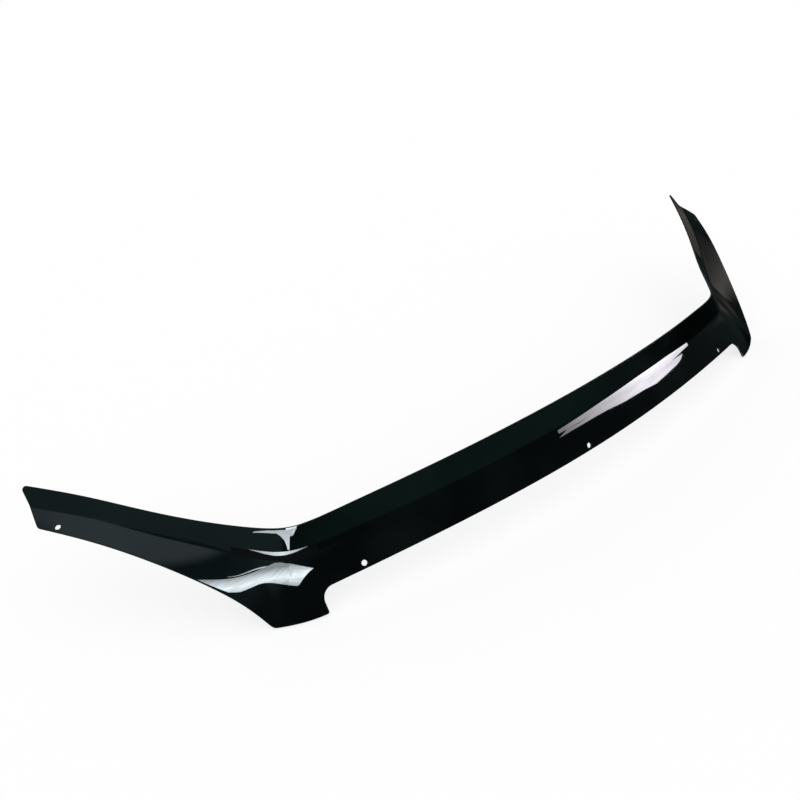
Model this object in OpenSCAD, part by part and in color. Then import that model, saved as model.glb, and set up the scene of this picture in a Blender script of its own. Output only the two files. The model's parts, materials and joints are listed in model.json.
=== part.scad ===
// Hood bug deflector: one thermoformed sheet of tinted acrylic that stands on
// the front edge of a vehicle's hood.
// Millimetres. +X runs across the vehicle, +Y to its rear, +Z up.
// The origin is the middle mounting hole, on the front face of the sheet.
// The half shape is a loft between two spline edges, the top edge and the
// lower edge of the blank, mirrored in X and then trimmed and drilled.

/* [Sheet] */
// thickness of the acrylic
sheet_t = 3; // [2:0.5:5]
// width of the upturned lip at the middle
lip_mid_w = 40; // [30:1:48]
// width of the upturned lip at the wing tips
lip_end_w = 33; // [26:1:38]
// bend between the face and the lip, in degrees
fold_angle = 20; // [8:1:28]
// width of the rounded fold between them
fold_w = 10; // [6:1:16]
// radius of the outward bulge of the face below the fold
face_r = 350; // [250:10:900]

/* [Blade between the corners] */
// half length of its top edge
blade_top_half = 370; // [330:5:420]
// how far back the top edge stands at the middle
blade_lean = 41.5; // [30:0.5:55]
// height of the blank at the middle
blade_h = 114; // [105:1:125]
// sweep back of the top edge, middle to corner
top_sweep = 59; // [30:1:80]
// sweep back of the lower edge, middle to corner
low_sweep = 45; // [25:1:65]
// drop of the top edge, middle to corner
top_drop = 28.5; // [15:0.5:40]
// drop of the lower edge, middle to corner
low_drop = 17; // [5:1:25]

/* [Trimmed lower edge] */
// how far the middle of the blank is trimmed back
trim_depth = 27; // [20:1:32]
// rise of the trimmed edge, middle to notch
trim_rise = 4.5; // [0:0.5:9]
// half length of the trimmed edge, up to the notch beside each tab
notch_half = 454; // [414:2:504]
// from the end of the blade to the notch, across, on the lower edge
notch_out = 56; // [44:1:60]
// radius in the top of the notch
notch_r = 18; // [8:1:20]
// slant of the side of the notch, in degrees
notch_slant = 3; // [0:1:20]
// radius on the inner corner of the tab
tab_r = 3; // [2:0.5:7]
// radius on the upper corner of the wing tip
tip_top_r = 5; // [2:0.5:12]
// radius on the lower corner of the wing tip
tip_low_r = 8; // [2:0.5:14]

/* [Mounting holes] */
// diameter of all five holes
hole_d = 8; // [5:0.5:10]
// from a hole in the blade to the trimmed edge below it
hole_edge = 7.5; // [7:0.5:14]
// from each side hole to the notch beside it, across
side_hole_in = 67; // [45:1:150]
// from a tip hole to the lower edge of the wing
tip_hole_edge = 10.5; // [8:0.5:20]
// from a tip hole to the end of the wing
tip_hole_in = 33.5; // [15:0.5:60]

/* [Part] */
// which sub-part to build

/* [Hidden] */

// Corner and wing, as steps from the end of the blade: across, back, up.
// The third and fourth steps of the lower edge turn round the foot of the tab.
wing_top = [[45, 14, -8], [76, 24, -10.5], [96.5, 37.5, -10.5], [121.5, 65.5, -9.5],
            [160.5, 113, -3.5], [211, 168, 14], [267, 238, 36], [322.5, 307.5, 47]];
wing_low = [[57, 11, -10], [96, 24, -9.5], [123.5, 41.5, -10], [126, 41.5, -8.5],
            [144.5, 76, 28.5], [201.5, 159.5, 73], [255.5, 234.5, 102], [303.5, 304, 113.5]];
// Control points along the blade, as shares of its half length.
top_at = [0, 0.3, 0.58, 0.82, 1];
low_at = [0, 0.28, 0.56, 0.81, 1];

function bowed(half, back, up, sweep, drop, at) =
    [for (s = at) [half * s, back + sweep * s * s, up - drop * s * s]];
function stepped(p, steps) = [for (d = steps) p + d];

// Half length of the lower edge of the blank, up to the corner.
blade_low_half = notch_half - notch_out;

top_blade = bowed(blade_top_half, blade_lean, blade_h, top_sweep, top_drop, top_at);
low_blade = bowed(blade_low_half, 0, 0, low_sweep, low_drop, low_at);
TOP = concat(top_blade, stepped(top_blade[4], wing_top));
LOW = concat(low_blade, stepped(low_blade[4], wing_low));
MID = (TOP + LOW) / 2;
END = len(TOP) - 1;

// Uniform cubic B-spline through control points P, mirrored in X at its start.
// t runs from 0 at the middle of the vehicle to END at the wing tip.
function mir(p) = [-p[0], p[1], p[2]];
function ctrl(P, i) = i < 0 ? mir(P[-i]) : i > END ? 2 * P[END] - P[END - 1] : P[i];
function curve(P, t) =
    let (i = min(floor(t), END - 1), u = t - i, w = 1 - u)
    (w * w * w * ctrl(P, i - 1)
     + (3 * u * u * u - 6 * u * u + 4) * ctrl(P, i)
     + (3 * w * w * w - 6 * w * w + 4) * ctrl(P, i + 1)
     + u * u * u * ctrl(P, i + 2)) / 6;
function unit(v) = v / norm(v);

// Frame of the section at t: top point, direction down the section, outward
// normal, length, width of the lip, depth of the fold, bulge of the face.
function frame(t) =
    let (a = curve(TOP, t), c = curve(LOW, t) - a, len = norm(c), e = c / len,
         run = t < 0.001 ? [1, 0, 0]
                         : curve(MID, min(t + 0.001, END)) - curve(MID, t - 0.001),
         lip = lip_mid_w + (lip_end_w - lip_mid_w) * t / END, face = len - lip)
    [a, e, -unit(cross(run, e)), len, lip,
     tan(fold_angle) * lip * face / len, face * face / (8 * face_r)];

// Distance of the section in front of its chord, s down from the top edge.
function lip_line(f, s) = -f[5] * s / f[4];
function face_line(f, s) =
    let (q = (s - f[4]) / (f[3] - f[4])) -f[5] * (1 - q) + 4 * f[6] * q * (1 - q);
function depth(f, s) =
    let (h = fold_w / 2, face = f[3] - f[4], q = (s - f[4] + h) / fold_w)
    q <= 0 ? lip_line(f, s) : q >= 1 ? face_line(f, s)
    : (2 * q * q * q - 3 * q * q + 1) * lip_line(f, f[4] - h)
      - (q * q * q - 2 * q * q + q) * fold_w * f[5] / f[4]
      + (3 * q * q - 2 * q * q * q) * face_line(f, f[4] + h)
      + (q * q * q - q * q) * fold_w * (f[5] + 4 * f[6] * (1 - fold_w / face)) / face;
function front(f, s) = f[0] + f[1] * s + f[2] * depth(f, s);
function outward(t, s) =
    let (f = frame(t), f1 = frame(min(t + 0.01, END)), f0 = frame(max(t - 0.01, 0)),
         a = front(f1, s * f1[3] / f[3]), b = front(f0, s * f0[3] / f[3]))
    -unit(cross(a - (t < 0.01 ? mir(a) : b), front(f, s + 0.5) - front(f, s - 0.5)));

// Plane of the trim: square to the face at the middle, across and up the face.
foot = frame(0);
face_low = front(foot, foot[3]);
face_dir = unit(front(foot, foot[3] - trim_depth - 2 * hole_edge) - face_low);
trim_lean = atan2(face_dir[2], face_dir[1]);
trim_y = cos(trim_lean);
trim_z = sin(trim_lean);
function up_face(p) = trim_y * p[1] + trim_z * p[2];
edge_mid = up_face(face_low) + trim_depth;
function edge_at(x) = edge_mid + trim_rise * (1 - cos(180 * x / notch_half)) / 2;
function over_edge(p) = up_face(p) - edge_at(p[0]);

// Stretches of t in which the side holes, the tabs and the tip holes lie.
side_span = [1, 5];
tab_span = [3, 6.5];
tip_span = [9, END];

// Places found by halving: how far down a section a blade hole lies, which
// section is that far across, and which sections meet the tab and a tip hole.
function hole_s(t, f, lo, hi, n = 24) =
    let (m = (lo + hi) / 2)
    n == 0 ? m : over_edge(front(f, m)) > hole_edge ? hole_s(t, f, m, hi, n - 1)
                                                    : hole_s(t, f, lo, m, n - 1);
function blade_hole(t) = let (f = frame(t)) [t, hole_s(t, f, f[4], f[3])];
function at(q) = front(frame(q[0]), q[1]);
function side_t(lo, hi, n = 20) =
    let (m = (lo + hi) / 2)
    n == 0 ? m : at(blade_hole(m))[0] < notch_half - side_hole_in ? side_t(m, hi, n - 1)
                                                                  : side_t(lo, m, n - 1);
function wing_hole(t) = [t, frame(t)[3] - tip_hole_edge];
function tip_t(lo, hi, n = 20) =
    let (m = (lo + hi) / 2)
    n == 0 ? m : norm(at(wing_hole(m)) - at(wing_hole(END))) > tip_hole_in
                 ? tip_t(m, hi, n - 1) : tip_t(lo, m, n - 1);
function notch_side(v) = notch_half + (edge_at(notch_half) - notch_r - v) * tan(notch_slant);
function tab_t(lo, hi, n = 24) =
    let (m = (lo + hi) / 2, p = curve(LOW, m))
    n == 0 ? m : p[0] < notch_side(up_face(p)) ? tab_t(m, hi, n - 1) : tab_t(lo, m, n - 1);

mid_hole = blade_hole(0);
side_hole = blade_hole(side_t(side_span[0], side_span[1]));
tip_hole = wing_hole(tip_t(tip_span[0], tip_span[1]));
HOME = at(mid_hole);

// Rings of the loft: steps within each span of the spline, and shares of the
// lip, the fold and the face down each section.
span_steps = [4, 4, 4, 4, 4, 4, 4, 4, 5, 5, 5, 5];
half_ts = [for (i = [0:END - 1]) for (k = [0:span_steps[i] - 1]) i + k / span_steps[i], END];
rings = concat([for (i = [len(half_ts) - 1:-1:1]) -half_ts[i]], half_ts);
lip_cuts = 2;
fold_cuts = 4;
face_cuts = 6;
// Steps along the trimmed edge, and how far the trim reaches to either side.
crest_cuts = 16;
trim_reach = 2 * (blade_lean + top_sweep);
function downs(f) =
    let (a = f[4] - fold_w / 2, b = f[4] + fold_w / 2)
    concat([for (k = [0:lip_cuts - 1]) a * k / lip_cuts],
           [for (k = [0:fold_cuts - 1]) a + fold_w * k / fold_cuts],
           [for (k = [0:face_cuts]) b + (f[3] - b) * k / face_cuts]);

half_grid = [for (t = half_ts) let (f = frame(t)) [for (s = downs(f)) front(f, s)]];
R = len(rings);
S = len(half_grid[0]);
grid = [for (i = [0:R - 1])
            let (g = half_grid[abs(i - (R - 1) / 2)])
            [for (p = g) rings[i] < 0 ? mir(p) : p]];
function behind(i, j) =
    grid[i][j] + sheet_t * unit(cross(grid[min(i + 1, R - 1)][j] - grid[max(i - 1, 0)][j],
                                      grid[i][min(j + 1, S - 1)] - grid[i][max(j - 1, 0)]));

module blank() {
    front_pts = [for (g = grid) each g];
    back_pts = [for (i = [0:R - 1]) for (j = [0:S - 1]) behind(i, j)];
    B = R * S;
    faces = concat(
        [for (i = [0:R - 2]) for (j = [0:S - 2])
            let (a = i * S + j, b = a + 1, c = a + S, d = c + 1)
            each [[a, c, b], [b, c, d], [B + a, B + b, B + c], [B + b, B + d, B + c]]],
        [for (i = [0:R - 2])
            let (a = i * S, c = a + S, e = a + S - 1, g = c + S - 1)
            each [[a, B + a, c], [c, B + a, B + c], [e, g, B + e], [g, B + g, B + e]]],
        [for (j = [0:S - 2])
            let (b = j + 1, k = (R - 1) * S + j, m = k + 1)
            each [[j, b, B + j], [b, B + b, B + j], [k, B + k, m], [m, B + k, B + m]]]);
    polyhedron(concat(front_pts, back_pts), faces, convexity = 8);
}

// What the trim takes off below the blade, notch to notch.
module trim() {
    deep = edge_mid - 3 * trim_depth;
    e = edge_at(notch_half);
    turn = [for (a = [90:-(90 + notch_slant) / 10:-notch_slant])
               [notch_half - notch_r + notch_r * cos(a), e - notch_r + notch_r * sin(a)]];
    crest = [for (k = [0:crest_cuts - 1])
                let (x = (notch_half - notch_r) * k / crest_cuts) [x, edge_at(x)]];
    side = [[turn[len(turn) - 1][0] + (turn[len(turn) - 1][1] - deep) * tan(notch_slant), deep]];
    right = concat(crest, turn, side);
    left = [for (i = [len(right) - 1:-1:1]) [-right[i][0], right[i][1]]];
    rotate([trim_lean, 0, 0])
        translate([0, 0, -trim_reach])
            linear_extrude(2 * trim_reach)
                polygon(concat(right, left));
}

// Takes a corner of the sheet off to a radius: p is the corner, and d1 and d2
// run from it along the two edges that meet there.
module round_off(p, d1, d2, r) {
    x = unit(d1);
    y = unit(d2 - (d2 * x) * x);
    z = cross(x, y);
    a = acos(unit(d1) * unit(d2));
    reach = r / tan(a / 2);
    arc = [for (k = [0:8]) let (g = -90 - (180 - a) * k / 8) [reach + r * cos(g), r + r * sin(g)]];
    multmatrix([[x[0], y[0], z[0], p[0]], [x[1], y[1], z[1], p[1]], [x[2], y[2], z[2], p[2]]])
        translate([0, 0, -3 * sheet_t])
            linear_extrude(6 * sheet_t)
                polygon(concat([[-2 * cos(a / 2), -2 * sin(a / 2)], [reach, -1]], arc,
                               [[reach * cos(a) - sin(a), reach * sin(a) + cos(a)]]));
}

// The inner corner of a tab, between its foot and the slanted side of the notch.
module tab_corner() {
    t = tab_t(tab_span[0], tab_span[1]);
    p = curve(LOW, t);
    n = outward(t, frame(t)[3] - 1);
    up = [-tan(notch_slant), trim_y, trim_z];
    square = [0, -trim_z, trim_y];
    round_off(p, curve(LOW, t + 0.3) - p, up - square * (up * n) / (square * n), tab_r);
}

module tip_corners() {
    f = frame(END);
    round_off(f[0], curve(TOP, END - 0.1) - f[0], front(f, 5) - f[0], tip_top_r);
    low = front(f, f[3]);
    round_off(low, curve(LOW, END - 0.1) - low, front(f, f[3] - 5) - low, tip_low_r);
}

// A hole square through the sheet at place q.
module bore(q) {
    n = outward(q[0], q[1]);
    translate(at(q))
        rotate([0, acos(n[2]), atan2(n[1], n[0])])
            cylinder(d = hole_d, h = 8 * sheet_t, center = true, $fn = 48);
}

module deflector() {
    color([0.05, 0.06, 0.06])
        translate(-HOME)
            difference() {
                blank();
                trim();
                bore(mid_hole);
                for (side = [0, 1])
                    mirror([side, 0, 0]) {
                        tab_corner();
                        tip_corners();
                        bore(side_hole);
                        bore(tip_hole);
                    }
            }
}

deflector();
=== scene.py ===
import json
import math

import bpy
import numpy as np
from mathutils import Matrix, Vector
from mathutils.geometry import delaunay_2d_cdt
from mathutils.kdtree import KDTree


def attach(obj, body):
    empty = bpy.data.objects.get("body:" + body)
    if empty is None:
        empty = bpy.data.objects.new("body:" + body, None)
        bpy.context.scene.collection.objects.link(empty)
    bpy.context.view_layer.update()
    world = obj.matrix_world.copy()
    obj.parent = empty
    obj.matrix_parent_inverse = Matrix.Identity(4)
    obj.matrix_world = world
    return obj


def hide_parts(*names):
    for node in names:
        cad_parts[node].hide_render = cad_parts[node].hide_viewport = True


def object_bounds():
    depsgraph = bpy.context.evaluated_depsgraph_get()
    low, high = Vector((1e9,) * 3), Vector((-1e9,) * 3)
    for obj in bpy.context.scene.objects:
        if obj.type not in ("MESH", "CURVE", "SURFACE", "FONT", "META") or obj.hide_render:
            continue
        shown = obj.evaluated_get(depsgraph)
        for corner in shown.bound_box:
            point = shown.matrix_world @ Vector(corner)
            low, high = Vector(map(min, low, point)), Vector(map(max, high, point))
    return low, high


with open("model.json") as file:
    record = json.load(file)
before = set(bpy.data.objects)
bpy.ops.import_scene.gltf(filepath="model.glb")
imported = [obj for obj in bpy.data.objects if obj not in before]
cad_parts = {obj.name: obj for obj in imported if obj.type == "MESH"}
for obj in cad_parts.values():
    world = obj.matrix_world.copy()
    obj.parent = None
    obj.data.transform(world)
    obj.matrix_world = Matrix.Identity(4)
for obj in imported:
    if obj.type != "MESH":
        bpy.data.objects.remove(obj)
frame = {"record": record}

bl_info = {
    "name": "Hood deflector",
    "version": (1, 0, 0),
    "blender": (4, 5, 0),
    "location": "View3D > Sidebar > Deflector",
    "description": "A glossy smoked acrylic hood deflector with its studio stage",
    "category": "Object",
}

MM = 0.001
TENT_R = 9.0
EYE = (-0.9425, -0.8179, 0.8363)
CAD_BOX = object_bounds()
SLOT = frame["record"]["materials"][0]

# Corner and wing, as steps in millimetres from the end of the blade: across,
# back, up. They are the steps of the CAD part.
WING_TOP = ((45, 14, -8), (76, 24, -10.5), (96.5, 37.5, -10.5), (121.5, 65.5, -9.5),
            (160.5, 113, -3.5), (211, 168, 14), (267, 238, 36), (322.5, 307.5, 47))
WING_LOW = ((57, 11, -10), (96, 24, -9.5), (123.5, 41.5, -10), (126, 41.5, -8.5),
            (144.5, 76, 28.5), (201.5, 159.5, 73), (255.5, 234.5, 102), (303.5, 304, 113.5))
# Control points along the blade, as shares of its half length.
TOP_AT = (0, 0.3, 0.58, 0.82, 1)
LOW_AT = (0, 0.28, 0.56, 0.81, 1)
END = 12


def length(name, text, value):
    """A property for a length, given in millimetres and kept in metres."""
    return bpy.props.FloatProperty(
        name=name, description=text, default=value * MM, min=0, precision=4,
        subtype="DISTANCE", unit="LENGTH")


def amount(name, text, value, most=1.0):
    return bpy.props.FloatProperty(name=name, description=text, default=value, min=0, max=most)


def colour(name, text, value):
    return bpy.props.FloatVectorProperty(
        name=name, description=text, default=value, size=3, min=0, max=1, subtype="COLOR")


class DeflectorSizes(bpy.types.PropertyGroup):
    """Sizes of the formed sheet, the same as those of the CAD part."""
    sheet_t: length("Sheet", "Thickness of the acrylic", 3)
    lip_mid_w: length("Lip, middle", "Width of the upturned lip at the middle", 40)
    lip_end_w: length("Lip, tips", "Width of the upturned lip at the wing tips", 33)
    fold_angle: bpy.props.FloatProperty(
        name="Fold", description="Bend between the face and the lip",
        default=math.radians(20), subtype="ANGLE", unit="ROTATION")
    fold_w: length("Fold width", "Width of the rounded fold", 10)
    face_r: length("Face bulge", "Radius of the outward bulge of the face", 350)
    blade_top_half: length("Blade top half", "Half length of the blade's top edge", 370)
    blade_low_half: length("Blade low half", "Half length of the blank's lower edge", 398)
    blade_lean: length("Lean", "How far back the top edge stands at the middle", 41.5)
    blade_h: length("Height", "Height of the blank at the middle", 114)
    top_sweep: length("Top sweep", "Sweep back of the top edge", 59)
    low_sweep: length("Low sweep", "Sweep back of the lower edge", 45)
    top_drop: length("Top drop", "Drop of the top edge, middle to corner", 28.5)
    low_drop: length("Low drop", "Drop of the lower edge, middle to corner", 17)
    trim_depth: length("Trim", "How far the middle of the blank is trimmed back", 27)
    trim_rise: length("Trim rise", "Rise of the trimmed edge, middle to notch", 4.5)
    notch_half: length("Notch", "Half length of the trimmed edge", 454)
    notch_r: length("Notch radius", "Radius in the top of the notch", 18)
    notch_slant: bpy.props.FloatProperty(
        name="Notch slant", description="Slant of the side of the notch",
        default=math.radians(3), subtype="ANGLE", unit="ROTATION")
    tab_r: length("Tab radius", "Radius on the inner corner of the tab", 3)
    tip_top_r: length("Tip top radius", "Radius on the upper corner of the wing tip", 5)
    tip_low_r: length("Tip low radius", "Radius on the lower corner of the wing tip", 8)
    hole_d: length("Hole", "Diameter of the five mounting holes", 8)
    hole_edge: length("Hole to edge", "From a blade hole to the trimmed edge", 7.5)
    side_hole_in: length("Side hole", "From each side hole to the notch, across", 67)
    tip_hole_edge: length("Tip hole edge", "From a tip hole to the wing's lower edge", 10.5)
    tip_hole_in: length("Tip hole end", "From a tip hole to the end of the wing", 33.5)
    edge_round: length("Edge rounding", "Rounding of the polished outer edge", 0.7)
    hole_round: length("Hole rounding", "Rounding of the rim of a hole", 0.4)
    mesh_step: length("Mesh step", "Spacing of the mesh along the sheet", 3.4)


class AcrylicLook(bpy.types.PropertyGroup):
    """Colours and finish of the smoked acrylic."""
    tint: colour("Tint", "Body colour of the acrylic", tuple(SLOT["base_color"][:3]))
    deep: colour("Deep tint", "Body colour where the tint is densest", (0.0002, 0.0004, 0.0004))
    edge: colour("Cut edge", "Colour of the polished cut edge", (0.03, 0.035, 0.036))
    gloss: amount("Roughness", "Roughness of the moulded faces", 0.03)
    edge_gloss: amount("Edge roughness", "Roughness of the polished cut edge", 0.16)
    ripple: amount("Ripple", "Strength of the faint ripple that forming leaves", 0.04)


class StudioSet(bpy.types.PropertyGroup):
    """Floor, light and camera."""
    floor_tint: colour("Floor", "Colour of the floor", (0.995, 0.995, 0.995))
    backdrop: amount("Backdrop", "How far the floor shows the white backdrop", 0.75)
    air: amount("Surround light", "Brightness of the plain white surround", 1.0, 4.0)
    lens: bpy.props.FloatProperty(
        name="Lens", description="Focal length of the camera in millimetres", default=45, min=10)


class Value:
    """A socket that can be used in an expression; each operator adds its Math node."""

    def __init__(self, nodes, socket):
        self.nodes, self.socket = nodes, socket

    def _math(self, operation, a, b):
        return self.nodes.add("ShaderNodeMath", {"operation": operation}, {0: a, 1: b})

    def __add__(self, other):
        return self._math("ADD", self, other)

    def __radd__(self, other):
        return self._math("ADD", other, self)

    def __sub__(self, other):
        return self._math("SUBTRACT", self, other)

    def __rsub__(self, other):
        return self._math("SUBTRACT", other, self)

    def __mul__(self, other):
        return self._math("MULTIPLY", self, other)

    def __rmul__(self, other):
        return self._math("MULTIPLY", other, self)

    def __truediv__(self, other):
        return self._math("DIVIDE", self, other)

    def __rtruediv__(self, other):
        return self._math("DIVIDE", other, self)


class Nodes:
    """The node tree of one material or of the world."""

    def __init__(self, owner):
        owner.use_nodes = True
        self.tree = owner.node_tree
        self.tree.nodes.clear()

    def add(self, kind, settings=None, sockets=None, out=0):
        """Adds a node: its settings first, then the values or links of its sockets."""
        node = self.tree.nodes.new(kind)
        for name, value in (settings or {}).items():
            if name == "stops":
                while len(node.color_ramp.elements) < len(value):
                    node.color_ramp.elements.new(0.5)
                for element, (place, shade) in zip(node.color_ramp.elements, value):
                    element.position = place
                    element.color = (shade, shade, shade, 1)
            else:
                setattr(node, name, value)
        for name, value in (sockets or {}).items():
            socket = node.inputs[name]
            if isinstance(value, Value):
                self.tree.links.new(value.socket, socket)
            elif hasattr(value, "__len__") and len(value) == 3 and socket.type == "RGBA":
                socket.default_value = (*value, 1)
            else:
                socket.default_value = value
        return Value(self, node.outputs[out]) if len(node.outputs) else None

    def blend(self, factor, a, b):
        """Mixes two colours by a factor."""
        node = self.tree.nodes.new("ShaderNodeMix")
        node.data_type = "RGBA"
        for index, value in ((0, factor), (6, a), (7, b)):
            if isinstance(value, Value):
                self.tree.links.new(value.socket, node.inputs[index])
            elif index:
                node.inputs[index].default_value = (*value, 1)
            else:
                node.inputs[index].default_value = value
        return Value(self, node.outputs[2])

    def finish(self, shader, output="ShaderNodeOutputMaterial"):
        self.add(output, {}, {"Surface": shader})


def unit(v):
    return v / np.linalg.norm(v, axis=-1, keepdims=True)


def halving(lo, hi, goes_on, steps=44):
    """The place between lo and hi where goes_on turns false."""
    for _ in range(steps):
        middle = (lo + hi) / 2
        lo, hi = (middle, hi) if goes_on(middle) else (lo, middle)
    return (lo + hi) / 2


class FormedSheet:
    """The front surface of the deflector, by the same rules as the CAD part.
    t runs along it, from -12 at one wing tip to 12 at the other, and s down
    each section from the top edge."""

    def __init__(self, z):
        self.z = z
        self.top = self._edge(z.blade_top_half, z.blade_lean, z.blade_h, z.top_sweep,
                              z.top_drop, TOP_AT, WING_TOP)
        self.low = self._edge(z.blade_low_half, 0, 0, z.low_sweep, z.low_drop,
                              LOW_AT, WING_LOW)
        self.mid = (self.top + self.low) / 2
        self.home = np.zeros(3)
        self._set_trim()
        self._set_holes()
        self._set_spread()

    @staticmethod
    def _edge(half, back, up, sweep, drop, at, wing):
        blade = [(half * k, back + sweep * k * k, up - drop * k * k) for k in at]
        steps = [np.array(blade[-1]) + MM * np.array(step) for step in wing]
        points = np.array(blade + steps)
        before = points[1] * (-1, 1, 1)
        return np.vstack([before, points, 2 * points[-1] - points[-2]])

    @staticmethod
    def curve(points, t):
        """Uniform cubic B-spline; points starts with the mirrored second one."""
        i = np.minimum(np.floor(t).astype(int), END - 1)
        u = (t - i)[:, None]
        w = 1 - u
        return (w ** 3 * points[i] + (3 * u ** 3 - 6 * u ** 2 + 4) * points[i + 1]
                + (3 * w ** 3 - 6 * w ** 2 + 4) * points[i + 2] + u ** 3 * points[i + 3]) / 6

    def section(self, t):
        """Top point, direction down, outward normal, length and lip width at t >= 0."""
        top = self.curve(self.top, t)
        down = self.curve(self.low, t) - top
        size = np.linalg.norm(down, axis=1)
        down = down / size[:, None]
        run = self.curve(self.mid, np.minimum(t + 0.001, END)) - self.curve(
            self.mid, np.maximum(t - 0.001, 0))
        run[t < 0.001] = (1, 0, 0)
        lip = self.z.lip_mid_w + (self.z.lip_end_w - self.z.lip_mid_w) * t / END
        return top, down, -unit(np.cross(run, down)), size, lip

    def length(self, t):
        return self.section(np.abs(np.atleast_1d(t)))[3]

    def lip(self, t):
        return self.section(np.abs(np.atleast_1d(t)))[4]

    def depth(self, size, lip, s):
        """Distance of the section in front of its chord: the lip and the bulging
        face, with a smooth fold between them."""
        z = self.z
        face = size - lip
        h = math.tan(z.fold_angle) * lip * face / size
        sag = face ** 2 / (8 * z.face_r)
        half = z.fold_w / 2

        def lip_line(s):
            return -h * s / lip

        def face_line(s):
            q = (s - lip) / face
            return -h * (1 - q) + 4 * sag * q * (1 - q)

        q = np.clip((s - lip + half) / z.fold_w, 0, 1)
        fold = ((2 * q ** 3 - 3 * q ** 2 + 1) * lip_line(lip - half)
                - (q ** 3 - 2 * q ** 2 + q) * z.fold_w * h / lip
                + (3 * q ** 2 - 2 * q ** 3) * face_line(lip + half)
                + (q ** 3 - q ** 2) * z.fold_w * (h + 4 * sag * (1 - z.fold_w / face)) / face)
        return np.where(q <= 0, lip_line(s), np.where(q >= 1, face_line(s), fold))

    def front(self, t, s):
        t, s = np.atleast_1d(t).astype(float), np.atleast_1d(s).astype(float)
        top, down, out, size, lip = self.section(np.minimum(np.abs(t), END))
        p = top + down * s[:, None] + out * self.depth(size, lip, s)[:, None]
        p[t < 0, 0] *= -1
        return p - self.home

    def slopes(self, t, s):
        """How the front point moves with t, at the same share of the section, and with s."""
        step, inch = 0.004, 0.00005
        near, far = np.clip(t - step, -END, END), np.clip(t + step, -END, END)
        share = s / self.length(t)
        along = (self.front(far, share * self.length(far))
                 - self.front(near, share * self.length(near))) / (far - near)[:, None]
        down = (self.front(t, s + inch) - self.front(t, s - inch)) / (2 * inch)
        return along, down

    def outward(self, t, s):
        along, down = self.slopes(np.atleast_1d(t), np.atleast_1d(s))
        return -unit(np.cross(along, down))

    def _set_trim(self):
        z = self.z
        foot = self.length(0.0)
        low = self.front(0.0, foot)[0]
        face = unit(self.front(0.0, foot - z.trim_depth - 2 * z.hole_edge)[0] - low)
        lean = math.atan2(face[2], face[1])
        self.trim_y, self.trim_z = math.cos(lean), math.sin(lean)
        self.edge_mid = self.up_face(low[None])[0] + z.trim_depth

    def up_face(self, p):
        p = p + self.home
        return self.trim_y * p[:, 1] + self.trim_z * p[:, 2]

    def edge_at(self, x):
        """Height of the trimmed edge up the face at x."""
        return self.edge_mid + self.z.trim_rise * (1 - np.cos(np.pi * x / self.z.notch_half)) / 2

    def notch_side(self, v):
        z = self.z
        return z.notch_half + (self.edge_at(z.notch_half) - z.notch_r - v) * math.tan(z.notch_slant)

    def _set_holes(self):
        z = self.z

        def blade_hole(t):
            def above(s):
                p = self.front(t, s)
                return self.up_face(p)[0] - self.edge_at(p[0, 0]) > z.hole_edge
            return t, halving(self.lip(t)[0], self.length(t)[0], above)

        def wing_hole(t):
            return t, self.length(t)[0] - z.tip_hole_edge

        side_x = z.notch_half - z.side_hole_in
        side_t = halving(1.0, 6.0, lambda t: self.front(*blade_hole(t))[0, 0] < side_x)
        end = self.front(*wing_hole(END))[0]
        tip_t = halving(9.0, END, lambda t: np.linalg.norm(
            self.front(*wing_hole(t))[0] - end) > z.tip_hole_in)
        middle, side, tip = blade_hole(0.0), blade_hole(side_t), wing_hole(tip_t)
        self.holes = [middle] + [(sign * t, s) for t, s in (side, tip) for sign in (1, -1)]
        self.home = self.front(*middle)[0]

    def _set_spread(self):
        """Table of the length run along the middle of the sheet, for t."""
        self.ts = np.linspace(0, END, 1201)
        steps = np.linalg.norm(np.diff(self.curve(self.mid, self.ts), axis=0), axis=1)
        self.us = np.concatenate([[0], np.cumsum(steps)])

    def u_of(self, t):
        return np.sign(t) * np.interp(np.abs(t), self.ts, self.us)

    def t_of(self, u):
        return np.sign(u) * np.interp(np.abs(u), self.us, self.ts)

    def at(self, uv):
        """Front points for places on the spread-out sheet."""
        return self.front(self.t_of(uv[:, 0]), uv[:, 1])

    def normals(self, uv):
        return self.outward(self.t_of(uv[:, 0]), uv[:, 1])

    def basis(self, uv):
        """The 3 x 2 matrix that turns a small step on the spread-out sheet into space."""
        e = 0.0002
        base = np.array([uv, uv, uv, uv]) + ((e, 0), (-e, 0), (0, e), (0, -e))
        p = self.at(base)
        if abs(uv[0]) > self.us[-1] - 2 * e:
            side = math.copysign(1, uv[0])
            p[0 if side > 0 else 1] = self.at(np.array([uv]))[0]
            return np.stack([(p[0] - p[1]) / e, (p[2] - p[3]) / (2 * e)], 1)
        return np.stack([(p[0] - p[1]) / (2 * e), (p[2] - p[3]) / (2 * e)], 1)

    def find(self, x, v):
        """Where the front surface has that distance across and height up the face."""
        t = np.interp(x, self.front(self.ts, self.length(self.ts))[:, 0], self.ts)
        s = self.length(t) - 0.02
        for _ in range(30):
            p = self.front(t, s)
            dx, dv = p[:, 0] - x, self.up_face(p) - v
            pt = (self.front(t + 1e-4, s) - p) / 1e-4 + self.home
            ps = (self.front(t, s + 1e-6) - p) / 1e-6 + self.home
            a, b = pt[:, 0] - self.home[0], ps[:, 0] - self.home[0]
            c, d = self.up_face(pt - 2 * self.home), self.up_face(ps - 2 * self.home)
            det = a * d - b * c
            t = np.clip(t - np.clip((dx * d - b * dv) / det, -0.3, 0.3), 0, END)
            s = s - np.clip((a * dv - c * dx) / det, -0.01, 0.01)
        return np.stack([self.u_of(t), s], 1)

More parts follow.
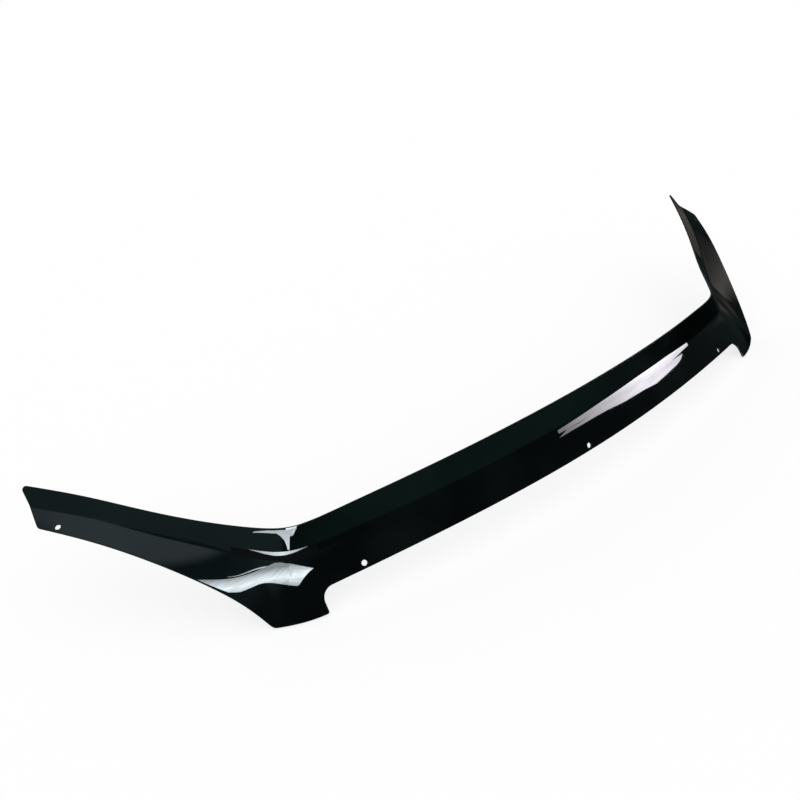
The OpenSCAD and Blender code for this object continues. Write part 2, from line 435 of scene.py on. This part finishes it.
    def rounded(self, corner, first, second, radius, steps):
        """The arc of a rounded corner between two directions on the spread-out sheet."""
        basis = self.basis(corner)
        d1, d2 = unit(basis @ first), unit(basis @ second)
        x = d1
        y = unit(d2 - (d2 @ x) * x)
        angle = math.acos(np.clip(d1 @ d2, -1, 1))
        reach = radius / math.tan(angle / 2)
        turn = -math.pi / 2 - np.linspace(0, math.pi - angle, steps)
        flat = np.outer(reach + radius * np.cos(turn), x) + np.outer(
            radius + radius * np.sin(turn), y)
        return corner + flat @ np.linalg.pinv(basis).T, reach

    def outline(self):
        """The outer edge on the spread-out sheet, once round."""
        z, step = self.z, self.z.mesh_step * 0.75
        last = self.us[-1]
        foot = self.length(float(END))[0]
        near = END - 0.05
        low_dir = np.array([self.u_of(near) - last, self.length(near)[0] - foot])
        arc1, reach1 = self.rounded(np.array([last, 0.0]), np.array([-1.0, 0.0]),
                                    np.array([0.0, 1.0]), z.tip_top_r, 9)
        arc2, reach2 = self.rounded(np.array([last, foot]), np.array([0.0, -1.0]),
                                    low_dir, z.tip_low_r, 11)
        scale = np.linalg.norm(self.basis(np.array([last, 0.0]))[:, 0])
        stop = last - reach1 / scale
        top = [(u, 0.0) for u in np.linspace(0, stop, int(stop / step), endpoint=False)]
        down = np.linspace(reach1, foot - reach2, int(foot / step))[1:-1]
        end = [(last, v) for v in down]

        def outside(t):
            p = self.front(t, self.length(t))
            return p[0, 0] < self.notch_side(self.up_face(p)[0])
        tab_t = halving(3.0, 6.5, outside)
        tab = np.array([self.u_of(tab_t), self.length(tab_t)[0]])
        e = self.edge_at(z.notch_half)
        turn = np.linspace(math.pi / 2, -z.notch_slant, 17)
        fillet = self.find(z.notch_half - z.notch_r + z.notch_r * np.cos(turn),
                           e - z.notch_r + z.notch_r * np.sin(turn))
        side_v = np.linspace(self.up_face(self.at(tab[None]))[0], e - z.notch_r, 9)[1:-1]
        side = self.find(self.notch_side(side_v), side_v)
        after = np.array([self.u_of(tab_t + 0.1), self.length(tab_t + 0.1)[0]])
        arc3, reach3 = self.rounded(tab, after - tab, side[0] - tab, z.tab_r, 7)
        start = self.u_of(tab_t) + reach3
        finish = arc2[-1, 0]
        low = np.linspace(finish, start, int((finish - start) / step))[1:-1]
        lower = np.stack([low, self.length(self.t_of(low))], 1)
        xs = np.linspace(z.notch_half - z.notch_r, 0, int(z.notch_half / step))[1:]
        crest = self.find(xs, self.edge_at(xs))
        side = side[(side[:, 1] < arc3[-1, 1] - 0.0008)]
        half = np.vstack([top, arc1, end, arc2, lower, arc3, side, fillet[::-1], crest])
        keep = np.linalg.norm(np.diff(half, axis=0), axis=1) > 0.0001
        half = half[np.concatenate([[True], keep])]
        half[-1, 0] = 0.0
        return np.vstack([half, (half * (-1, 1))[-2:0:-1]])

    def ring(self, place, radius, steps):
        """A circle of that real radius round a hole, on the spread-out sheet."""
        centre = np.array([self.u_of(place[0]), place[1]])
        basis = self.basis(centre)
        x = unit(basis[:, 0])
        y = unit(basis[:, 1] - (basis[:, 1] @ x) * x)
        turn = np.arange(steps) * 2 * math.pi / steps
        flat = radius * (np.outer(np.cos(turn), x) + np.outer(np.sin(turn), y))
        return centre + flat @ np.linalg.pinv(basis).T


def set_in(loop, distance):
    """A closed line moved inwards (to the left of its run) by a distance."""
    run = unit(np.roll(loop, -1, 0) - np.roll(loop, 1, 0))
    left = np.stack([-run[:, 1], run[:, 0]], 1)
    a = np.roll(loop, 1, 0)
    twice_area = np.sum(a[:, 0] * loop[:, 1] - loop[:, 0] * a[:, 1])
    return loop + left * distance * math.copysign(1, twice_area)


def inside(points, loop):
    """Which points lie inside a closed line."""
    found = np.zeros(len(points), bool)
    a, b = loop, np.roll(loop, -1, 0)
    for start in range(0, len(points), 2000):
        p = points[start:start + 2000]
        x, y = p[:, 0, None], p[:, 1, None]
        spans = (a[:, 1] > y) != (b[:, 1] > y)
        with np.errstate(divide="ignore", invalid="ignore"):
            cut = a[:, 0] + (y - a[:, 1]) * (b[:, 0] - a[:, 0]) / (b[:, 1] - a[:, 1])
        found[start:start + 2000] = (np.sum(spans & (x < cut), axis=1) % 2) == 1
    return found


def field(sheet):
    """Mesh points over the sheet: close together across the fold, wider elsewhere."""
    z = sheet.z
    us = np.linspace(-sheet.us[-1], sheet.us[-1], int(2 * sheet.us[-1] / z.mesh_step))
    ts = sheet.t_of(us)
    size, lip = sheet.length(ts), sheet.lip(ts)
    half = z.fold_w / 2
    rows = []
    for k in np.linspace(0, 1, 12)[1:-1]:
        rows.append((lip - half) * k)
    for k in np.linspace(0, 1, 13):
        rows.append(lip - half + z.fold_w * k)
    for k in np.linspace(0, 1, 24)[1:]:
        rows.append(lip + half + (size - lip - half) * k)
    grid = [np.stack([us, row], 1) for row in rows]
    grid[1::2] = [g + (z.mesh_step * 0.5, 0) for g in grid[1::2]]
    return np.vstack(grid)


def triangles(sheet, loops):
    """Triangles between the inner lines of the edges, on the spread-out sheet."""
    tree = KDTree(sum(len(loop) for loop in loops))
    for i, p in enumerate(np.vstack(loops)):
        tree.insert((p[0], p[1], 0), i)
    tree.balance()
    points = field(sheet)
    clear = np.array([tree.find((p[0], p[1], 0))[2] > 0.0011 for p in points])
    ok = clear & inside(points, loops[0])
    for loop in loops[1:]:
        ok &= ~inside(points, loop)
    places = np.vstack([*loops, points[ok]])
    edges, start = [], 0
    for loop in loops:
        n = len(loop)
        edges += [(start + i, start + (i + 1) % n) for i in range(n)]
        start += n
    made = delaunay_2d_cdt([Vector(p) for p in places], edges, [], 0, 1e-9)
    verts = np.array([tuple(v) for v in made[0]])
    faces = np.array([f for f in made[2] if len(f) == 3])
    middle = verts[faces].mean(1)
    ok = inside(middle, loops[0])
    for loop in loops[1:]:
        ok &= ~inside(middle, loop)
    came_from = {}
    for i, olds in enumerate(made[3]):
        for old in olds:
            came_from[old] = i
    total = sum(len(loop) for loop in loops)
    return verts, faces[ok], np.array([came_from[i] for i in range(total)])


def sheet_mesh(name, sheet):
    """The formed sheet as one closed mesh: front, back, and rounded polished edges."""
    z = sheet.z
    outer = sheet.outline()
    loops = [(set_in(outer, z.edge_round), outer, z.edge_round)]
    for place in sheet.holes:
        wall = sheet.ring(place, z.hole_d / 2, 40)
        rim = sheet.ring(place, z.hole_d / 2 + z.hole_round, 40)
        loops.append((rim, wall, z.hole_round))
    flat, faces, loop_ids = triangles(sheet, [loop[0] for loop in loops])
    front, normal = sheet.at(flat), sheet.normals(flat)
    n = len(flat)
    points = [front, front - normal * z.sheet_t]
    normals = [normal, -normal]
    cut = [np.zeros(n), np.zeros(n)]
    polygons = [*faces.tolist(), *(faces + n).tolist()]
    total, start = 2 * n, 0
    for near, wall, radius in loops:
        count = len(near)
        ids = loop_ids[start:start + count]
        start += count
        reach = sheet.at(wall) - front[ids]
        side = unit(reach)
        rings = [ids]
        for back in (False, True):
            turns = (30, 60, 90)
            for degrees in reversed(turns) if back else turns:
                a = math.radians(degrees)
                sink = radius * (1 - math.cos(a))
                if back:
                    sink = z.sheet_t - sink
                points.append(front[ids] + reach * math.sin(a) - normal[ids] * sink)
                facing = normal[ids] * (-math.cos(a) if back else math.cos(a))
                normals.append(facing + side * math.sin(a))
                cut.append(np.full(count, 1.0 if degrees == 90 else 0.0))
                rings.append(np.arange(total, total + count))
                total += count
        rings.append(ids + n)
        for a, b in zip(rings, rings[1:]):
            polygons += np.stack([a, np.roll(a, -1), np.roll(b, -1), b], 1).tolist()
    points, normals = np.vstack(points), unit(np.vstack(normals))
    turned = []
    for polygon in polygons:
        a, b, c = (points[i] for i in polygon[:3])
        if len(polygon) == 4:
            c = points[polygon[2]]
            a, b = points[polygon[0]], points[polygon[1]]
        across = np.array([(b[1] - a[1]) * (c[2] - a[2]) - (b[2] - a[2]) * (c[1] - a[1]),
                           (b[2] - a[2]) * (c[0] - a[0]) - (b[0] - a[0]) * (c[2] - a[2]),
                           (b[0] - a[0]) * (c[1] - a[1]) - (b[1] - a[1]) * (c[0] - a[0])])
        turned.append(polygon if across @ normals[polygon].sum(0) > 0 else polygon[::-1])
    mesh = bpy.data.meshes.new(name)
    mesh.from_pydata(points.tolist(), [], turned)
    mesh.polygons.foreach_set("use_smooth", [True] * len(mesh.polygons))
    layer = mesh.attributes.new("cut_edge", "FLOAT", "POINT")
    layer.data.foreach_set("value", np.concatenate(cut).astype(np.float32))
    mesh.normals_split_custom_set_from_vertices(normals.tolist())
    mesh.update()
    return mesh


def smoked_acrylic(look):
    """Near-black acrylic: a deep gloss with the faint ripple and haze of a formed sheet,
    and a lighter, less glossy cut edge."""
    material = bpy.data.materials.new("smoked_acrylic")
    nodes = Nodes(material)
    place = nodes.add("ShaderNodeTexCoord", out=3)
    cut = nodes.add("ShaderNodeAttribute", {"attribute_name": "cut_edge"}, out=2)
    cloud = nodes.add("ShaderNodeTexNoise", {}, {
        "Vector": place, "Scale": 7.0, "Detail": 3.0, "Roughness": 0.5})
    haze = nodes.add("ShaderNodeTexNoise", {}, {
        "Vector": place, "Scale": 26.0, "Detail": 5.0, "Roughness": 0.6})
    ripple = nodes.add("ShaderNodeTexNoise", {}, {
        "Vector": place, "Scale": 16.0, "Detail": 1.0, "Roughness": 0.4})
    scuff = nodes.add("ShaderNodeTexNoise", {}, {
        "Vector": place, "Scale": 600.0, "Detail": 2.0, "Roughness": 0.5})
    patches = nodes.add("ShaderNodeValToRGB", {"stops": [(0.45, 0.0), (0.9, 1.0)]},
                        {"Fac": cloud})
    body = nodes.blend(patches, look.deep, look.tint)
    tint = nodes.blend(cut, body, look.edge)
    rough = look.gloss + 0.03 * (haze - 0.5)
    rough = rough + cut * (look.edge_gloss + 0.1 * scuff - rough)
    height = ripple + cut * scuff * 0.02
    relief = nodes.add("ShaderNodeBump", {}, {
        "Strength": look.ripple, "Distance": 0.001, "Height": height})
    shader = nodes.add("ShaderNodeBsdfPrincipled", {}, {
        "Base Color": tint, "Roughness": rough, "IOR": 1.49, "Normal": relief})
    nodes.finish(shader)
    return material


class DEFLECTOR_OT_sheet(bpy.types.Operator):
    """Make the formed acrylic sheet with its lip, fold, notches and holes"""
    bl_idname = "deflector.sheet"
    bl_label = "Form the sheet"
    bl_options = {"REGISTER", "UNDO"}

    def execute(self, context):
        scene = context.scene
        sheet = FormedSheet(scene.deflector_sizes)
        mesh = sheet_mesh("deflector_sheet", sheet)
        if len(mesh.polygons) < 1000:
            raise RuntimeError("the sheet came out with too few faces")
        mesh.materials.append(smoked_acrylic(scene.deflector_look))
        obj = bpy.data.objects.new("deflector_sheet", mesh)
        scene.collection.objects.link(obj)
        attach(obj, "root")
        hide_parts("deflector")
        return {"FINISHED"}


def plain_floor(studio):
    """A wide pale floor under the deflector."""
    material = bpy.data.materials.new("pale_floor")
    nodes = Nodes(material)
    place = nodes.add("ShaderNodeTexCoord", out=3)
    grain = nodes.add("ShaderNodeTexNoise", {}, {"Vector": place, "Scale": 3.0, "Detail": 4.0})
    tone = nodes.blend(grain, studio.floor_tint, [c * 0.985 for c in studio.floor_tint])
    paint = nodes.add("ShaderNodeBsdfPrincipled", {}, {
        "Base Color": tone, "Roughness": 0.9, "Specular IOR Level": 0.0})
    white = nodes.add("ShaderNodeEmission", {}, {"Color": (1, 1, 1), "Strength": 1.0})
    seen = sum(nodes.add("ShaderNodeLightPath", out=ray) for ray in (0, 3, 6))
    nodes.finish(nodes.add("ShaderNodeMixShader", {}, {
        0: studio.backdrop * seen, 1: paint, 2: white}))
    mesh = bpy.data.meshes.new("floor")
    low = CAD_BOX[0][2]
    rim = [(30 * math.cos(a), 30 * math.sin(a), low)
           for a in (k * math.tau / 64 for k in range(64))]
    mesh.from_pydata(rim, [], [tuple(range(64))])
    mesh.materials.append(material)
    return bpy.data.objects.new("floor", mesh)


def only_in_gloss(obj):
    """A card or softbox that shows in the gloss of the acrylic and nowhere else."""
    obj.visible_camera = False
    obj.visible_diffuse = False
    obj.visible_transmission = False
    obj.visible_volume_scatter = False
    obj.visible_shadow = False


def cloth(name, tint, ridge, core, rim, reach, wisps, grain):
    """Light of a softbox: core along a ridge line, falling to rim at reach from it,
    broken up by faint wisps that run across the card."""
    material = bpy.data.materials.new(name)
    nodes = Nodes(material)
    place = nodes.add("ShaderNodeTexCoord", out=3)
    across = nodes.add("ShaderNodeSeparateXYZ", {}, {"Vector": place}, out=0)
    up = nodes.add("ShaderNodeSeparateXYZ", {}, {"Vector": place}, out=1)
    start, end = Vector(ridge[0]), Vector(ridge[1])
    side = (end - start).orthogonal().normalized()
    off = across * side.x + up * side.y - side.dot(start)
    away = nodes.add("ShaderNodeMath", {"operation": "ABSOLUTE"}, {0: off})
    strength = nodes.add("ShaderNodeMapRange", {"clamp": True}, {
        "Value": away, "From Min": 0.0, "From Max": reach, "To Min": core, "To Max": rim})
    turned = nodes.add("ShaderNodeMapping", {}, {"Vector": place, "Scale": (1.0, 8.0, 1.0)})
    wisp = nodes.add("ShaderNodeTexNoise", {}, {
        "Vector": turned, "Scale": grain, "Detail": 4.0, "Roughness": 0.6, "Distortion": 0.6})
    strength = strength * (1 + wisps * (wisp - 0.5))
    nodes.finish(nodes.add("ShaderNodeEmission", {}, {"Color": tint, "Strength": strength}))
    return material


def card(name, middle, facing, outline, material):
    """A flat card: its outline runs across and up in the plane that faces facing."""
    z = Vector(facing).normalized()
    x = Vector((1, 0, 0)) if abs(z.z) > 0.9 else Vector((-z.y, z.x, 0)).normalized()
    turn = Matrix((x, z.cross(x), z)).transposed().to_4x4()
    mesh = bpy.data.meshes.new(name)
    mesh.from_pydata([(u, v, 0) for u, v in outline], [], [tuple(range(len(outline)))])
    mesh.materials.append(material)
    obj = bpy.data.objects.new(name, mesh)
    obj.matrix_world = Matrix.Translation(middle) @ turn
    only_in_gloss(obj)
    return obj


def looks(sheet, t, s, eye):
    """Points of the front and the directions in which the camera looks on from them."""
    p, n = sheet.front(t, s), sheet.outward(t, s)
    look = p - eye
    look -= 2 * (look * n).sum(1, keepdims=True) * n
    return p, look / np.linalg.norm(look, axis=1, keepdims=True)


def gathered(sheet, t, eye):
    """Where the hollow of the fold gathers the looks of the camera, for each t."""
    s = sheet.lip(t)[:, None] + np.linspace(-0.004, 0.004, 9)
    p, look = looks(sheet, np.repeat(t, 9), s.ravel(), eye)
    across = np.eye(3) - look[:, :, None] * look[:, None, :]
    onto = (across @ p[:, :, None])[:, :, 0]
    return np.linalg.solve(across.reshape(-1, 9, 3, 3).sum(1),
                           onto.reshape(-1, 9, 3).sum(1)[:, :, None])[:, :, 0]


def fold_light(name, sheet, first, last, top, bottom, material):
    """A thin line of light close off the fold, half way to where the fold gathers the
    looks, so that the fold is lit from top to bottom of the given lines along it."""
    count = 33
    eye = np.array(EYE)
    share = np.linspace(0, 1, count)
    t = np.linspace(first, last, count)
    focus = gathered(sheet, t, eye)
    edges = []
    for line in (top, bottom):
        s = sheet.lip(t) + np.interp(share, np.linspace(0, 1, len(line)), line)
        p, look = looks(sheet, t, s, eye)
        far = ((focus - p) * look).sum(1, keepdims=True)
        edges.append(p + 0.5 * far * look)
    points = np.concatenate(edges)
    faces = [(k, k + 1, k + 1 + count, k + count) for k in range(count - 1)]
    mesh = bpy.data.meshes.new(name)
    mesh.from_pydata(points.tolist(), [], faces)
    mesh.materials.append(material)
    obj = bpy.data.objects.new(name, mesh)
    only_in_gloss(obj)
    return obj


def softboxes(sheet):
    """The small softboxes close to the sheet whose shapes show in its gloss."""
    cool, lilac = (0.86, 0.95, 1.0), (0.96, 0.94, 1.0)
    return [
        card("corner_softbox", (-0.5303, 0.1164, 0.0171), (-0.0302, -0.4076, 0.9127),
             [(-0.043, 0.035), (-0.0185, 0.0177), (0.002, 0.005), (0.0145, -0.001),
              (0.026, -0.004), (0.0404, -0.008), (0.048, -0.013), (0.0574, -0.023),
              (0.0388, -0.048), (0.0327, -0.043), (0.0196, -0.0294), (0.0134, -0.023),
              (0.0095, -0.0203), (0.0037, -0.0183), (-0.0058, -0.0147), (-0.019, -0.0052),
              (-0.0257, 0.005), (-0.0335, 0.0177), (-0.0394, 0.028)],
             cloth("corner_softbox", cool, ((-0.02, 0.002), (0.035, -0.03)),
                   25, 7, 0.015, 1.0, 40)),
        card("tab_softbox", (-0.5115, 0.0568, 0.0556), (-0.3972, -0.4909, 0.7754),
             [(0.0042, 0.0186), (0.0167, 0.0164), (0.046, 0.009), (0.0643, 0.003),
              (0.0556, -0.004), (0.0454, -0.0143), (0.036, -0.025), (0.0306, -0.0275),
              (0.0055, -0.0228)],
             cloth("tab_softbox", cool, ((0.0, -0.006), (0.05, -0.007)),
                   27, 9, 0.022, 1.0, 30)),
        card("lip_softbox", (-0.5032, 0.0832, 0.0333), (-0.7274, -0.6802, 0.0907),
             [(-0.053, 0.0132), (-0.031, 0.0143), (0.0, 0.014), (0.026, 0.0121),
              (0.047, 0.0113), (0.047, 0.0097), (0.035, 0.0089), (0.0266, 0.0053),
              (0.024, -0.0025), (0.022, -0.0144), (0.017, -0.0138), (0.016, -0.0096),
              (0.0103, -0.001), (0.0, 0.006), (-0.01, 0.01), (-0.031, 0.011),
              (-0.053, 0.0121)],
             cloth("lip_softbox", cool, ((-0.05, 0.013), (0.05, 0.011)),
                   13, 20, 0.026, 0.5, 30)),
        card("blade_softbox", (0.8527, -0.5974, 0.2307), (0.7609, -0.6163, 0.203),
             [(-0.387, 0.117), (-0.323, 0.131), (-0.2676, 0.095), (-0.2095, 0.076),
              (-0.15, 0.048), (-0.096, 0.016), (-0.038, -0.009), (0.0204, -0.032),
              (0.084, -0.047), (0.147, -0.062), (0.205, -0.08), (0.2875, -0.078),
              (0.377, -0.075), (0.427, -0.067), (0.476, -0.05), (0.356, -0.0294),
              (0.21, -0.008), (0.069, 0.022), (-0.07, 0.05), (-0.2025, 0.086),
              (-0.33, 0.122)],
             cloth("blade_softbox", lilac, ((0.15, 0), (0.15, 1)), 16, 4, 0.5, 0.6, 5)),
        fold_light("blade_fold_light", sheet, -0.4, 3.05,
                   (0.004, 0.0, -0.003, -0.0035, -0.001),
                   (0.009, 0.009, 0.0084, 0.0082, 0.004),
                   cloth("blade_fold_light", lilac, ((0.17, 0), (0.17, 1)),
                         16, 4, 0.21, 0.5, 12)),
        fold_light("corner_fold_light", sheet, -8.1, -5.55,
                   (-0.0055, -0.0055), (-0.0053, -0.0022, -0.0005, -0.0007, -0.0025, -0.0053),
                   cloth("corner_fold_light", cool, ((-0.475, 0), (-0.475, 1)),
                         21, 8, 0.035, 0.4, 30)),
        fold_light("corner_fold_flag", sheet, -8.6, -5.2,
                   (-0.005, -0.005, -0.002, -0.0003, -0.0005, -0.0023, -0.005, -0.005),
                   (0.006, 0.006),
                   cloth("corner_fold_flag", cool, ((-1, 0), (1, 0)), 0.1, 0.1, 1, 0.1, 30)),
    ]


# Painted reflections for the right wing, as patches on the tent, brownish and one pale: where, how
# wide in degrees, tint.
RIGHT_WING_REFLECTIONS = [
    ((0.93, 0.33, -0.06), 13, (0.23, 0.19, 0.17)),
    ((0.82, 0.17, 0.54), 12, (0.16, 0.16, 0.15)),
    ((0.96, 0.01, 0.24), 11, (0.26, 0.24, 0.22)),
    ((0.89, 0.02, 0.46), 11, (0.85, 0.8, 0.74)),
]


def dark_tent():
    """A dome all round the set that glows and shows only in the gloss of the acrylic: its tones are
    painted reflections, dark to keep the gloss deep, greyer overhead to the rear, and greenish to the
    left and low in front."""
    material = bpy.data.materials.new("dark_tent")
    nodes = Nodes(material)
    place = nodes.add("ShaderNodeTexCoord", out=3)
    x, y, z = (nodes.add("ShaderNodeSeparateXYZ", {}, {"Vector": place}, out=k)
               for k in range(3))

    def rise(value, low, high):
        return nodes.add("ShaderNodeMapRange", {"clamp": True, "interpolation_type": "SMOOTHSTEP"}, {
            "Value": value, "From Min": low * TENT_R, "From Max": high * TENT_R})

    # Painted reflections: tones of the dome by direction, which the sheet shows in its gloss.
    rear = rise(y, -0.14, -0.02) * rise(z, 0.84, 0.93)
    left = rise(x, -0.3, -0.5) * rise(z, -0.1, 0.1) * rise(y - x, -0.05, 0.15)
    low = rise(z, 0.1, -0.05) * rise(x, 0.85, 0.5)
    top = rise(z, 0.72, 0.85)
    deep = rise(x, 0.8, 0.9) * rise(z, 0.0, -0.12)
    tone = nodes.blend(low, (0.04, 0.055, 0.058), (0.06, 0.15, 0.14))
    tone = nodes.blend(deep, tone, (0.004, 0.007, 0.007))
    tone = nodes.blend(top, tone, (0.075, 0.14, 0.155))
    tone = nodes.blend(left, tone, (0.16, 0.27, 0.29))
    tone = nodes.blend(rear, tone, (0.54, 0.7, 0.76))
    # Painted reflections: patches of tint on the dome that the right wing shows in its gloss.
    for toward, wide, shade in RIGHT_WING_REFLECTIONS:
        near = nodes.add("ShaderNodeVectorMath", {"operation": "DOT_PRODUCT"}, {
            0: place, 1: Vector(toward).normalized() / TENT_R}, out=1)
        patch = nodes.add("ShaderNodeMapRange", {"clamp": True, "interpolation_type": "SMOOTHSTEP"}, {
            "Value": near, "From Min": math.cos(math.radians(wide)), "From Max": 1.0})
        tone = nodes.blend(patch, tone, shade)
    nodes.finish(nodes.add("ShaderNodeEmission", {}, {"Color": tone, "Strength": 1.0}))
    mesh = bpy.data.meshes.new("dark_tent")
    rings, spokes = 16, 32
    points = [(TENT_R * math.sin(math.pi * i / rings) * math.cos(math.tau * j / spokes),
               TENT_R * math.sin(math.pi * i / rings) * math.sin(math.tau * j / spokes),
               TENT_R * math.cos(math.pi * i / rings))
              for i in range(rings + 1) for j in range(spokes)]
    faces = [(i * spokes + j, i * spokes + (j + 1) % spokes,
              (i + 1) * spokes + (j + 1) % spokes, (i + 1) * spokes + j)
             for i in range(rings) for j in range(spokes)]
    mesh.from_pydata(points, [], faces)
    mesh.validate()
    mesh.materials.append(material)
    obj = bpy.data.objects.new("dark_tent", mesh)
    only_in_gloss(obj)
    return obj


class DEFLECTOR_OT_stage(bpy.types.Operator):
    """Set up the floor, the soft light, the dark glowing dome of painted reflections and the camera
    """
    bl_idname = "deflector.stage"
    bl_label = "Set the stage"
    bl_options = {"REGISTER", "UNDO"}

    def execute(self, context):
        scene = context.scene
        studio = scene.deflector_studio
        sheet = FormedSheet(scene.deflector_sizes)
        stage = [plain_floor(studio), dark_tent()] + softboxes(sheet)
        stage[0].visible_glossy = False
        for obj in stage:
            scene.collection.objects.link(obj)
        world = bpy.data.worlds.new("white_surround")
        scene.world = world
        nodes = Nodes(world)
        nodes.finish(nodes.add("ShaderNodeBackground", {}, {
            "Color": (1, 1, 1), "Strength": studio.air}), "ShaderNodeOutputWorld")
        lens = bpy.data.cameras.new("camera")
        lens.lens, lens.sensor_width = studio.lens, 36
        lens.clip_start, lens.clip_end = 0.05, 100
        camera = bpy.data.objects.new("camera", lens)
        right = Vector((0.766566, -0.635562, -0.091854))
        down = Vector((-0.388298, -0.344827, -0.854587))
        ahead = Vector((0.511469, 0.690764, -0.511120))
        turn = Matrix((right, -down, -ahead)).transposed().to_4x4()
        camera.matrix_world = Matrix.Translation(EYE) @ turn
        scene.collection.objects.link(camera)
        scene.camera = camera
        scene.view_settings.view_transform = "Standard"
        return {"FINISHED"}


class DEFLECTOR_PT_panel(bpy.types.Panel):
    """Lists the steps that build the deflector"""
    bl_label = "Deflector"
    bl_idname = "DEFLECTOR_PT_panel"
    bl_space_type = "VIEW_3D"
    bl_region_type = "UI"
    bl_category = "Deflector"

    def draw(self, context):
        layout = self.layout
        scene = context.scene
        layout.operator(DEFLECTOR_OT_sheet.bl_idname)
        layout.operator(DEFLECTOR_OT_stage.bl_idname)
        for group in (scene.deflector_sizes, scene.deflector_look, scene.deflector_studio):
            box = layout.box()
            for name in group.__annotations__:
                box.prop(group, name)


CLASSES = (DeflectorSizes, AcrylicLook, StudioSet, DEFLECTOR_OT_sheet, DEFLECTOR_OT_stage,
           DEFLECTOR_PT_panel)


def register():
    for item in CLASSES:
        bpy.utils.register_class(item)
    scene = bpy.types.Scene
    scene.deflector_sizes = bpy.props.PointerProperty(type=DeflectorSizes)
    scene.deflector_look = bpy.props.PointerProperty(type=AcrylicLook)
    scene.deflector_studio = bpy.props.PointerProperty(type=StudioSet)


def unregister():
    scene = bpy.types.Scene
    del scene.deflector_sizes, scene.deflector_look, scene.deflector_studio
    for item in reversed(CLASSES):
        bpy.utils.unregister_class(item)


def main():
    register()
    bpy.ops.deflector.sheet()
    bpy.ops.deflector.stage()


if __name__ == "__main__":
    main()
